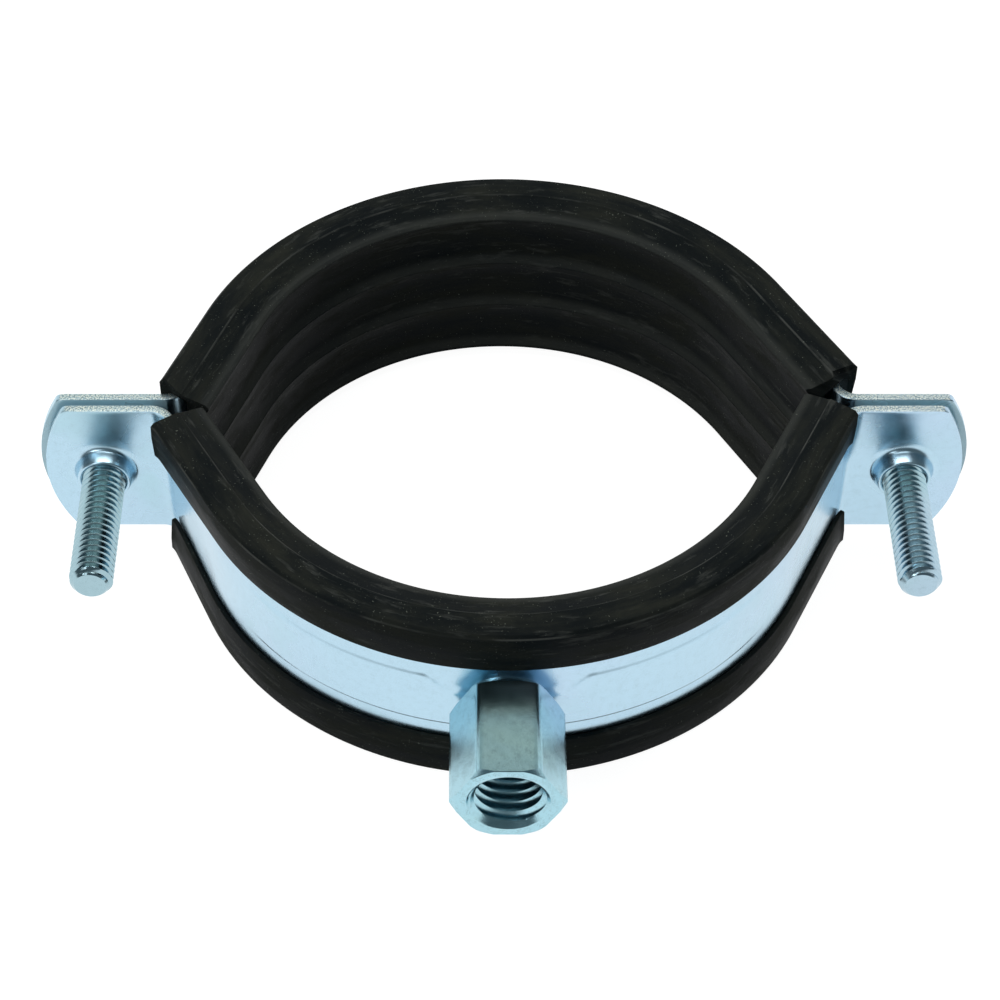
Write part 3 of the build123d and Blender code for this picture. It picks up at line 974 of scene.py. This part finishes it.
def zinc_material(name, zinc, base, roughness, speckle, strength, strip=None):
    """Bright zinc plate: cloudy tint, grains, soft dents, and on strip glittering sheared edges, with a
    painted reflection on the faces that the ears turn to each other.
    """
    material, tree, shader, spots = new_material(name)
    place = spots["Object"]
    tint = place_group(tree, "plate tint", plate_tint_group, Vector=place, Plate=base,
                       Green=zinc.green, Violet=zinc.violet, Scale=PLATE_CLOUDS, Strength=strength)
    grains = place_group(tree, "speckle", speckle_group, Vector=place, Scale=PLATE_GRAINS, Cover=0.5)
    dark = tuple(0.5 * value for value in base)
    color = tree.mix(tree.times(grains["Grains"], 0.45 * speckle), tint["Color"], dark)
    rough = tree.ramp(tint["Cloud"], 0.3, 0.7, roughness - 0.05, roughness + 0.05)
    shader.inputs["Metallic"].default_value = 1.0
    if strip:
        sheared = sheared_edge(tree, place, strip)
        glitter = tree.noise(place, SHEARED_GRAINS, 2.0)
        bright = tree.times(sheared, tree.ramp(glitter, 0.44, 0.60))
        dull = tree.times(sheared, tree.ramp(glitter, 0.47, 0.38, 0.0, 0.7))
        color = tree.mix(dull, tree.mix(bright, color, zinc.glitter), zinc.pits)
        rough = tree.math("ADD", rough, tree.times(sheared, 0.25))
        # Painted reflection: the faces the ears turn to each other take a pale colour and become mostly
        # non-metallic, standing in for light reflected into the gap between the ears.
        deep = tree.math("ABSOLUTE", tree.node("ShaderNodeSeparateXYZ", Vector=place).outputs[1])
        split = tree.math("LESS_THAN", deep, strip.ear_face - strip.strip_thickness + 0.02 * MM)
        color = tree.mix(split, color, zinc.split)
        tree.feed(shader, "Metallic", tree.math("SUBTRACT", 1.0, tree.times(split, 0.75)))
    tree.feed(shader, "Base Color", color)
    tree.feed(shader, "Roughness", rough)
    dents = bump(tree, tree.noise(place, PLATE_DENTS, 2.0), PLATE_DENT, 0.22)
    tree.feed(shader, "Normal", bump(tree, grains["Height"], PLATE_GRAIN, 0.5 * speckle, dents))
    return material


def ridge_places(outline, sizes):
    """How far round its section a lining's moulded edges and its crests lie, in the texture layout."""
    down = section_lengths(outline)
    top = sizes.width / 2
    places = []
    for spots in ([(sizes.shoulder, top), (sizes.outside, top - sizes.outer_chamfer)],
                  [(sizes.seat, CRESTS[0]), (sizes.seat, CRESTS[1])]):
        found = []
        for radius, height in spots:
            for side in (1, -1):
                spot = Vector((radius, height * side))
                gaps = [(point - spot).length for point in outline]
                found.append(down[gaps.index(min(gaps))])
        places.append(found)
    return places


def rubber_material(look, edges, crests):
    """Matt moulded rubber with dusty smears, pale specks and scuffs along it, pale moulded edges that
    are partly wear and partly painted highlight, and a painted highlight just above each crest.
    """
    material, tree, shader, spots = new_material("lining rubber")
    place, laid = spots["Object"], spots["UV"]
    smear = tree.noise(tree.stretched(laid, (0.45, 1.6, 1.0)), RUBBER_SMEARS, 6.0, 0.7, 0.3)
    smear = tree.times(tree.ramp(smear, 0.36, 0.80), 0.9)
    streaks = place_group(tree, "scuffs", scuff_group, Vector=tree.stretched(laid, (0.18, 1.0, 1.0)),
                          Scale=RUBBER_SCUFFS, Cover=0.5)
    grains = place_group(tree, "speckle", speckle_group, Vector=place, Scale=RUBBER_SPECKS, Cover=0.22)
    down = tree.node("ShaderNodeSeparateXYZ", Vector=laid).outputs[1]
    ridges, glow = 0.0, 0.0
    # Pale lines along the shoulder and the outer chamfer: partly rubbed wear, partly a painted
    # highlight.
    for spot in edges:
        away = tree.math("ABSOLUTE", tree.math("SUBTRACT", down, spot))
        ridges = tree.math("MAXIMUM", ridges, tree.ramp(away, 0.22 * MM, 0.05 * MM))
    # Painted highlight: the base colour turns pale just above each crest, standing in for light caught
    # by the crest's upper rounding.
    for spot in crests:
        shine = tree.times(tree.ramp(down, spot - 2.2 * MM, spot - 0.9 * MM),
                          tree.ramp(down, spot + 0.1 * MM, spot - 0.3 * MM))
        glow = tree.math("MAXIMUM", glow, shine)
    # Noise that varies the strength of those pale edge lines, which are partly painted highlight.
    wear = tree.noise(tree.stretched(laid, (0.5, 1.0, 1.0)), RUBBER_WEAR, 3.0)
    wear_and_highlight = tree.ramp(wear, 0.42, 0.66, 0.1, 0.75)
    color = tree.mix(smear, look.rubber, look.smear)
    color = tree.mix(tree.times(streaks["Streaks"], 0.45), color, look.pale_wear_and_highlight)
    color = tree.mix(tree.times(ridges, wear_and_highlight), color, look.pale_wear_and_highlight)
    # Mixes in the painted crest highlight.
    color = tree.mix(tree.times(glow, 0.34), color, look.pale_wear_and_highlight)
    color = tree.mix(tree.times(grains["Grains"], 0.8), color, look.dust)
    tree.feed(shader, "Base Color", color)
    rough = tree.ramp(smear, 0.0, 0.6, look.roughness - 0.08, look.roughness + 0.12)
    tree.feed(shader, "Roughness", rough)
    shader.inputs["Specular IOR Level"].default_value = 0.025
    waves = bump(tree, tree.noise(place, RUBBER_WAVES, 3.0), RUBBER_WAVE, 0.5)
    tree.feed(shader, "Normal", bump(tree, grains["Height"], RUBBER_GRAIN, 0.4, waves))
    return material


# ---- stage

# Half the width of the floor, how white it looks, and how much of the light it gives back.
FLOOR_HALF, FLOOR_WHITE, FLOOR_GREY = 3.0, 0.95, 0.25

# Lamps: place, and size across and deep.
KEY_LAMP = (-0.05, 0.04, 0.60), (0.60, 0.11)
FILL_LAMP = (-0.35, -0.35, 0.45), (0.25, 0.25)


def add_camera(stage):
    camera = bpy.data.cameras.new("camera")
    camera.sensor_width = 36
    camera.lens = stage.lens
    camera.shift_x = stage.shift
    camera.clip_start = 0.01
    holder = bpy.data.objects.new("camera", camera)
    bpy.context.scene.collection.objects.link(holder)
    holder.location = (-stage.sideways, -cos(stage.height) * stage.distance,
                       stage.look_at + sin(stage.height) * stage.distance)
    holder.rotation_euler = (pi / 2 - stage.height, 0, 0)
    bpy.context.scene.camera = holder


def seen_ray(tree):
    """1 for what the camera sees, straight or in gloss or through glass, and 0 for other light."""
    path = tree.node("ShaderNodeLightPath").outputs
    seen = tree.math("MAXIMUM", path["Is Camera Ray"], path["Is Glossy Ray"])
    return tree.math("MAXIMUM", seen, path["Is Transmission Ray"])


def add_floor():
    """White floor under the rims of the linings that keeps a soft shadow."""
    mesh = bpy.data.meshes.new("floor")
    corners = [(x * FLOOR_HALF, y * FLOOR_HALF, LINING_BOX[0].z)
               for x, y in ((-1, -1), (1, -1), (1, 1), (-1, 1))]
    mesh.from_pydata(corners, [], [(0, 1, 2, 3)])
    material = bpy.data.materials.new("white floor")
    material.use_nodes = True
    tree = Tree(material.node_tree)
    shader = material.node_tree.nodes["Principled BSDF"]
    shader.inputs["Base Color"].default_value = (FLOOR_GREY, FLOOR_GREY, FLOOR_GREY, 1)
    shader.inputs["Roughness"].default_value = 0.9
    shader.inputs["Specular IOR Level"].default_value = 0.0
    glow = tree.node("ShaderNodeEmission", Strength=tree.times(seen_ray(tree), FLOOR_WHITE))
    both = tree.node("ShaderNodeAddShader")
    tree.feed(both, 0, shader.outputs[0])
    tree.feed(both, 1, glow.outputs[0])
    tree.feed(material.node_tree.nodes["Material Output"], "Surface", both.outputs[0])
    mesh.materials.append(material)
    put_in_scene("floor", mesh)


def add_world(stage):
    """Dim room with a white horizon, and a wall and a high panel behind the clamp.

    Depth and up are how far a direction points to the back and upwards, from 0 to 1.
    """
    world = bpy.data.worlds.new("studio")
    bpy.context.scene.world = world
    world.use_nodes = True
    tree = Tree(world.node_tree)
    direction = tree.node("ShaderNodeTexCoord").outputs["Generated"]
    depth, up = tree.node("ShaderNodeSeparateXYZ", Vector=direction).outputs[1:]
    grey, dim = stage.wall, stage.room
    room = tree.mix(tree.ramp(up, 0.0, 0.16), (1, 1, 1), (dim, dim * 1.25, dim * 1.35))
    wall = tree.times(tree.ramp(depth, 0.30, 0.62), tree.ramp(up, 0.79, 0.74))
    room = tree.mix(wall, room, (1, 1, 1))
    high = tree.times(wall, tree.ramp(up, 0.42, 0.62))
    room = tree.mix(high, room, (grey * 0.93, grey, grey * 0.93))
    panel = tree.times(tree.ramp(up, 0.795, 0.815), tree.ramp(up, 0.95, 0.91))
    panel = tree.times(panel, tree.ramp(depth, 0.15, 0.35))
    room = tree.mix(panel, room, (stage.panel, stage.panel * 0.93, stage.panel * 0.80))
    ground = world.node_tree.nodes["Background"]
    tree.feed(ground, "Color", room)
    ground.inputs["Strength"].default_value = 1.0


def add_lamp(name, spot, size, power):
    """Rectangular lamp that faces the clamp, with its width along X."""
    lamp = bpy.data.lights.new(name, "AREA")
    lamp.shape = "RECTANGLE"
    lamp.size, lamp.size_y = size
    lamp.energy = power
    holder = bpy.data.objects.new(name, lamp)
    bpy.context.scene.collection.objects.link(holder)
    holder.location = spot
    away = Vector(spot).normalized()
    depth = away.cross(Vector((1, 0, 0))).normalized()
    holder.rotation_euler = Matrix((depth.cross(away), depth, away)).transposed().to_euler()


def build_stage(settings):
    stage = settings.stage
    add_camera(stage)
    add_floor()
    add_world(stage)
    add_lamp("key", *KEY_LAMP, stage.key)
    add_lamp("fill", *FILL_LAMP, stage.fill)
    bpy.context.scene.view_settings.view_transform = "Standard"


# ---- add-on

class ClampSettings(bpy.types.PropertyGroup):
    """Everything a user may change."""
    zinc: PointerProperty(type=ClampZinc, name="Zinc", description="Colours of the zinc plate")
    rubber: PointerProperty(type=ClampRubber, name="Rubber", description="Colours of the rubber")
    bands: PointerProperty(type=ClampBands, name="Bands", description="Sizes of the strip")
    linings: PointerProperty(type=ClampLinings, name="Linings", description="Sizes of the linings")
    threads: PointerProperty(type=ClampThreads, name="Threads", description="Sizes of boss and screws")
    stage: PointerProperty(type=ClampStage, name="Stage", description="Camera and light")


class ClampOperator:
    """Shared way of running one step of the build."""
    bl_options = {"REGISTER"}

    def execute(self, context):
        self.step(context.scene.pipe_clamp)
        return {"FINISHED"}


class OBJECT_OT_clamp_bands(ClampOperator, bpy.types.Operator):
    """Plate both half bands with zinc"""
    bl_idname = "pipe_clamp.bands"
    bl_label = "Plate Bands"
    step = staticmethod(build_bands)


class OBJECT_OT_clamp_boss(ClampOperator, bpy.types.Operator):
    """Cut the thread of the hexagon boss"""
    bl_idname = "pipe_clamp.boss"
    bl_label = "Thread Boss"
    step = staticmethod(build_boss)


class OBJECT_OT_clamp_screws(ClampOperator, bpy.types.Operator):
    """Cut the threads of both screws"""
    bl_idname = "pipe_clamp.screws"
    bl_label = "Thread Screws"
    step = staticmethod(build_screws)


class OBJECT_OT_clamp_linings(ClampOperator, bpy.types.Operator):
    """Mould both rubber linings"""
    bl_idname = "pipe_clamp.linings"
    bl_label = "Mould Linings"
    step = staticmethod(build_linings)


class OBJECT_OT_clamp_stage(ClampOperator, bpy.types.Operator):
    """Set the floor, the light and the camera"""
    bl_idname = "pipe_clamp.stage"
    bl_label = "Set Stage"
    step = staticmethod(build_stage)


class VIEW3D_PT_pipe_clamp(bpy.types.Panel):
    """Steps and settings of the pipe clamp"""
    bl_label = "Pipe Clamp"
    bl_space_type = "VIEW_3D"
    bl_region_type = "UI"
    bl_category = "Pipe Clamp"

    def draw(self, context):
        layout = self.layout
        for operator in OPERATORS:
            layout.operator(operator.bl_idname)
        settings = context.scene.pipe_clamp
        for group in (settings.zinc, settings.rubber, settings.bands, settings.linings,
                      settings.threads, settings.stage):
            box = layout.box()
            for name in group.__annotations__:
                box.prop(group, name)


GROUPS = (ClampZinc, ClampRubber, ClampLinings, ClampBands, ClampThreads, ClampStage, ClampSettings)
OPERATORS = (OBJECT_OT_clamp_bands, OBJECT_OT_clamp_boss, OBJECT_OT_clamp_screws,
             OBJECT_OT_clamp_linings, OBJECT_OT_clamp_stage)
CLASSES = GROUPS + OPERATORS + (VIEW3D_PT_pipe_clamp,)


def register():
    for item in CLASSES:
        bpy.utils.register_class(item)
    bpy.types.Scene.pipe_clamp = PointerProperty(
        type=ClampSettings, name="Pipe Clamp", description="Settings of the pipe clamp")


def unregister():
    del bpy.types.Scene.pipe_clamp
    for item in reversed(CLASSES):
        bpy.utils.unregister_class(item)


def main():
    register()
    bpy.ops.pipe_clamp.bands()
    bpy.ops.pipe_clamp.boss()
    bpy.ops.pipe_clamp.screws()
    bpy.ops.pipe_clamp.linings()
    bpy.ops.pipe_clamp.stage()


if __name__ == "__main__":
    main()
